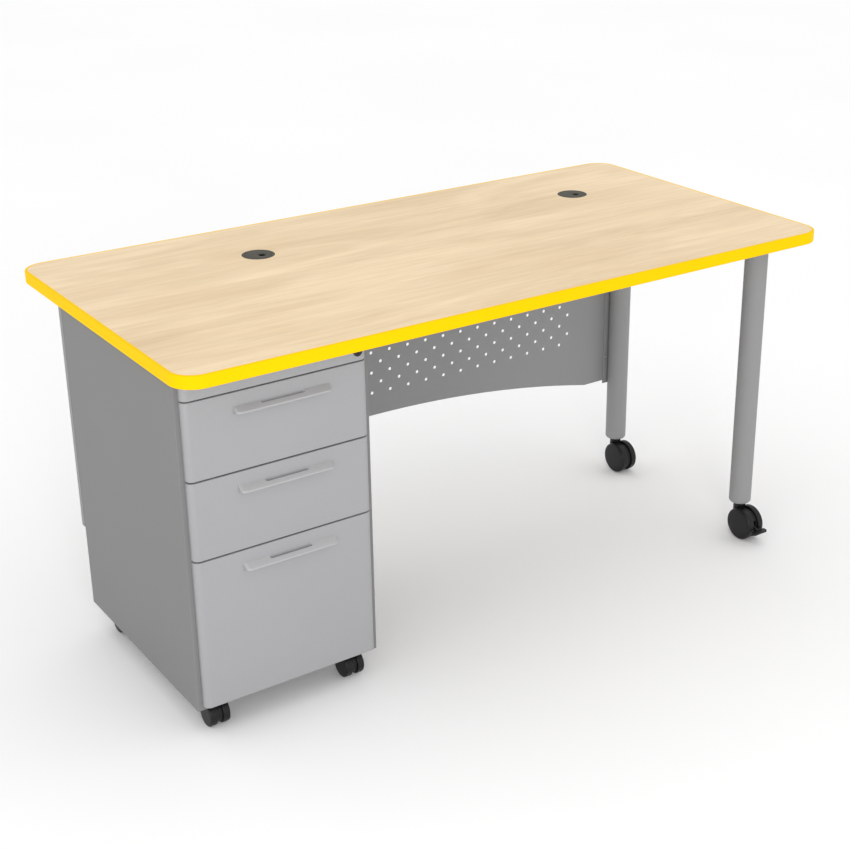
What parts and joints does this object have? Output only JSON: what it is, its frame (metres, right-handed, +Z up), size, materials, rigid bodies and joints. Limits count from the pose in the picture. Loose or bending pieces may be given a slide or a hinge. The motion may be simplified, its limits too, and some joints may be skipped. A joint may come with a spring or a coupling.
{
  "type": "teacher desk",
  "caption": "Teacher desk on casters: wood-grain worktop with a coloured edge, a locking steel drawer pedestal at the left, round legs at the right and a perforated modesty panel.",
  "frame": {"origin": "on the floor under the middle of the worktop", "axes": "+X along the worktop to the right as the seated user sees it, +Y away from the user to the modesty panel's side, +Z up"},
  "size_m": [1.524, 0.762, 0.74],
  "materials": {
    "core_board": "raw particle board",
    "maple_laminate": "light maple-pattern laminate, satin, grain along the length",
    "backing_sheet": "matte backing laminate",
    "yellow_edge": "satin moulded edge",
    "grommet_plastic": "fine-grained matte",
    "front_paint": "light silver-grey powder coat, satin",
    "case_paint": "mid silver-grey powder coat, satin",
    "leg_paint": "silver-grey powder coat, satin",
    "pull_paint": "smooth silver paint, semi-gloss",
    "panel_paint": "silver-grey powder coat, satin",
    "box_paint": "grey powder coat, matte",
    "zinc_steel": "bright zinc plate",
    "caster_plastic": "black nylon, satin",
    "lock_metal": "black chrome, semi-gloss"
  },
  "bodies": {
    "desk": {"top_core": "core_board", "top_laminate": "maple_laminate", "top_backer": "backing_sheet", "edge_band": "yellow_edge", "grommet_left_sleeve": "grommet_plastic", "grommet_right_sleeve": "grommet_plastic", "leg_front_tube": "leg_paint", "leg_back_tube": "leg_paint", "leg_plates": "leg_paint", "leg_sockets": "caster_plastic", "leg_caster_stems": "zinc_steel", "case_caster_front_left_mount": "zinc_steel", "case_caster_front_right_mount": "zinc_steel", "case_caster_back_left_mount": "zinc_steel", "case_caster_back_right_mount": "zinc_steel", "case_wrap": "case_paint", "case_top": "case_paint", "case_base": "case_paint", "case_rail": "front_paint", "lock_barrel": "lock_metal", "slide_channels": "zinc_steel", "modesty_panel": "panel_paint", "leg_strip": "leg_paint", "fasteners": "zinc_steel"},
    "drawer_1": {"drawer_1_front": "front_paint", "drawer_1_box": "box_paint", "drawer_1_pull": "pull_paint", "drawer_1_slide_inner": "zinc_steel"},
    "middle_1": {"drawer_1_slide_middle": "zinc_steel"},
    "drawer_2": {"drawer_2_front": "front_paint", "drawer_2_box": "box_paint", "drawer_2_pull": "pull_paint", "drawer_2_slide_inner": "zinc_steel"},
    "middle_2": {"drawer_2_slide_middle": "zinc_steel"},
    "drawer_3": {"drawer_3_front": "front_paint", "drawer_3_box": "box_paint", "drawer_3_pull": "pull_paint", "drawer_3_slide_inner": "zinc_steel"},
    "middle_3": {"drawer_3_slide_middle": "zinc_steel"},
    "lock_plug": {"lock_plug": "lock_metal"},
    "lock_bar": {"lock_bar": "zinc_steel"},
    "grommet_left_cap": {"grommet_left_cap": "grommet_plastic"},
    "grommet_right_cap": {"grommet_right_cap": "grommet_plastic"},
    "leg_front_caster": {"leg_front_caster_hood": "caster_plastic", "leg_front_caster_axle": "zinc_steel"},
    "leg_front_wheel_left": {"leg_front_caster_wheel_left": "caster_plastic"},
    "leg_front_wheel_right": {"leg_front_caster_wheel_right": "caster_plastic"},
    "leg_back_caster": {"leg_back_caster_hood": "caster_plastic", "leg_back_caster_axle": "zinc_steel"},
    "leg_back_wheel_left": {"leg_back_caster_wheel_left": "caster_plastic"},
    "leg_back_wheel_right": {"leg_back_caster_wheel_right": "caster_plastic"},
    "leg_front_pedal": {"leg_front_brake_pedal": "caster_plastic"},
    "case_front_left_caster": {"case_caster_front_left_hood": "caster_plastic"},
    "case_front_left_wheels": {"case_caster_front_left_wheels": "caster_plastic"},
    "case_front_right_caster": {"case_caster_front_right_hood": "caster_plastic"},
    "case_front_right_wheels": {"case_caster_front_right_wheels": "caster_plastic"},
    "case_back_left_caster": {"case_caster_back_left_hood": "caster_plastic"},
    "case_back_left_wheels": {"case_caster_back_left_wheels": "caster_plastic"},
    "case_back_right_caster": {"case_caster_back_right_hood": "caster_plastic"},
    "case_back_right_wheels": {"case_caster_back_right_wheels": "caster_plastic"}
  },
  "joints": [
    {"name": "drawer_1_slide", "type": "slide", "parent": "desk", "child": "drawer_1", "axis": [0, -1, 0], "range_m": [0, 0.4]},
    {"name": "middle_1_slide", "type": "slide", "parent": "desk", "child": "middle_1", "axis": [0, -1, 0], "range_m": [0, 0.2]},
    {"name": "drawer_2_slide", "type": "slide", "parent": "desk", "child": "drawer_2", "axis": [0, -1, 0], "range_m": [0, 0.4]},
    {"name": "middle_2_slide", "type": "slide", "parent": "desk", "child": "middle_2", "axis": [0, -1, 0], "range_m": [0, 0.2]},
    {"name": "drawer_3_slide", "type": "slide", "parent": "desk", "child": "drawer_3", "axis": [0, -1, 0], "range_m": [0, 0.4]},
    {"name": "middle_3_slide", "type": "slide", "parent": "desk", "child": "middle_3", "axis": [0, -1, 0], "range_m": [0, 0.2]},
    {"name": "lock_turn", "type": "hinge", "parent": "desk", "child": "lock_plug", "pos_m": [-0.394, -0.336, 0.697], "axis": [0, -1, 0], "range_deg": [0, 90]},
    {"name": "lock_bar_slide", "type": "slide", "parent": "desk", "child": "lock_bar", "axis": [0, 0, 1], "range_m": [0, 0.00848]},
    {"name": "grommet_left_turn", "type": "hinge", "parent": "desk", "child": "grommet_left_cap", "pos_m": [-0.327, 0.171, 0.74], "axis": [0, 0, 1], "continuous": true},
    {"name": "grommet_right_turn", "type": "hinge", "parent": "desk", "child": "grommet_right_cap", "pos_m": [0.5, 0.171, 0.74], "axis": [0, 0, 1], "continuous": true},
    {"name": "leg_front_swivel", "type": "hinge", "parent": "desk", "child": "leg_front_caster", "pos_m": [0.646, -0.298, 0.075], "axis": [0, 0, 1], "continuous": true},
    {"name": "leg_front_spin_left", "type": "hinge", "parent": "leg_front_caster", "child": "leg_front_wheel_left", "pos_m": [0.646, -0.32, 0.0375], "axis": [1, 0, 0], "continuous": true},
    {"name": "leg_front_spin_right", "type": "hinge", "parent": "leg_front_caster", "child": "leg_front_wheel_right", "pos_m": [0.646, -0.32, 0.0375], "axis": [1, 0, 0], "continuous": true},
    {"name": "leg_back_swivel", "type": "hinge", "parent": "desk", "child": "leg_back_caster", "pos_m": [0.646, 0.155, 0.075], "axis": [0, 0, 1], "continuous": true},
    {"name": "leg_back_spin_left", "type": "hinge", "parent": "leg_back_caster", "child": "leg_back_wheel_left", "pos_m": [0.646, 0.133, 0.0375], "axis": [1, 0, 0], "continuous": true},
    {"name": "leg_back_spin_right", "type": "hinge", "parent": "leg_back_caster", "child": "leg_back_wheel_right", "pos_m": [0.646, 0.133, 0.0375], "axis": [1, 0, 0], "continuous": true},
    {"name": "leg_front_brake", "type": "hinge", "parent": "leg_front_caster", "child": "leg_front_pedal", "pos_m": [0.646, -0.346, 0.0375], "axis": [1, 0, 0], "range_deg": [0, 15]},
    {"name": "case_front_left_swivel", "type": "hinge", "parent": "desk", "child": "case_front_left_caster", "pos_m": [-0.705, -0.278, 0.054], "axis": [0, 0, 1], "continuous": true},
    {"name": "case_front_left_spin", "type": "hinge", "parent": "case_front_left_caster", "child": "case_front_left_wheels", "pos_m": [-0.705, -0.291, 0.025], "axis": [1, 0, 0], "continuous": true},
    {"name": "case_front_right_swivel", "type": "hinge", "parent": "desk", "child": "case_front_right_caster", "pos_m": [-0.411, -0.278, 0.054], "axis": [0, 0, 1], "continuous": true},
    {"name": "case_front_right_spin", "type": "hinge", "parent": "case_front_right_caster", "child": "case_front_right_wheels", "pos_m": [-0.411, -0.291, 0.025], "axis": [1, 0, 0], "continuous": true},
    {"name": "case_back_left_swivel", "type": "hinge", "parent": "desk", "child": "case_back_left_caster", "pos_m": [-0.705, 0.138, 0.054], "axis": [0, 0, 1], "continuous": true},
    {"name": "case_back_left_spin", "type": "hinge", "parent": "case_back_left_caster", "child": "case_back_left_wheels", "pos_m": [-0.705, 0.125, 0.025], "axis": [1, 0, 0], "continuous": true},
    {"name": "case_back_right_swivel", "type": "hinge", "parent": "desk", "child": "case_back_right_caster", "pos_m": [-0.411, 0.138, 0.054], "axis": [0, 0, 1], "continuous": true},
    {"name": "case_back_right_spin", "type": "hinge", "parent": "case_back_right_caster", "child": "case_back_right_wheels", "pos_m": [-0.411, 0.125, 0.025], "axis": [1, 0, 0], "continuous": true}
  ],
  "couplings": [
    {"joint": "middle_1_slide", "follows": "drawer_1_slide", "ratio": 0.5},
    {"joint": "middle_2_slide", "follows": "drawer_2_slide", "ratio": 0.5},
    {"joint": "middle_3_slide", "follows": "drawer_3_slide", "ratio": 0.5},
    {"joint": "lock_turn", "follows": "lock_bar_slide", "rad_per_m": 185.19}
  ]
}
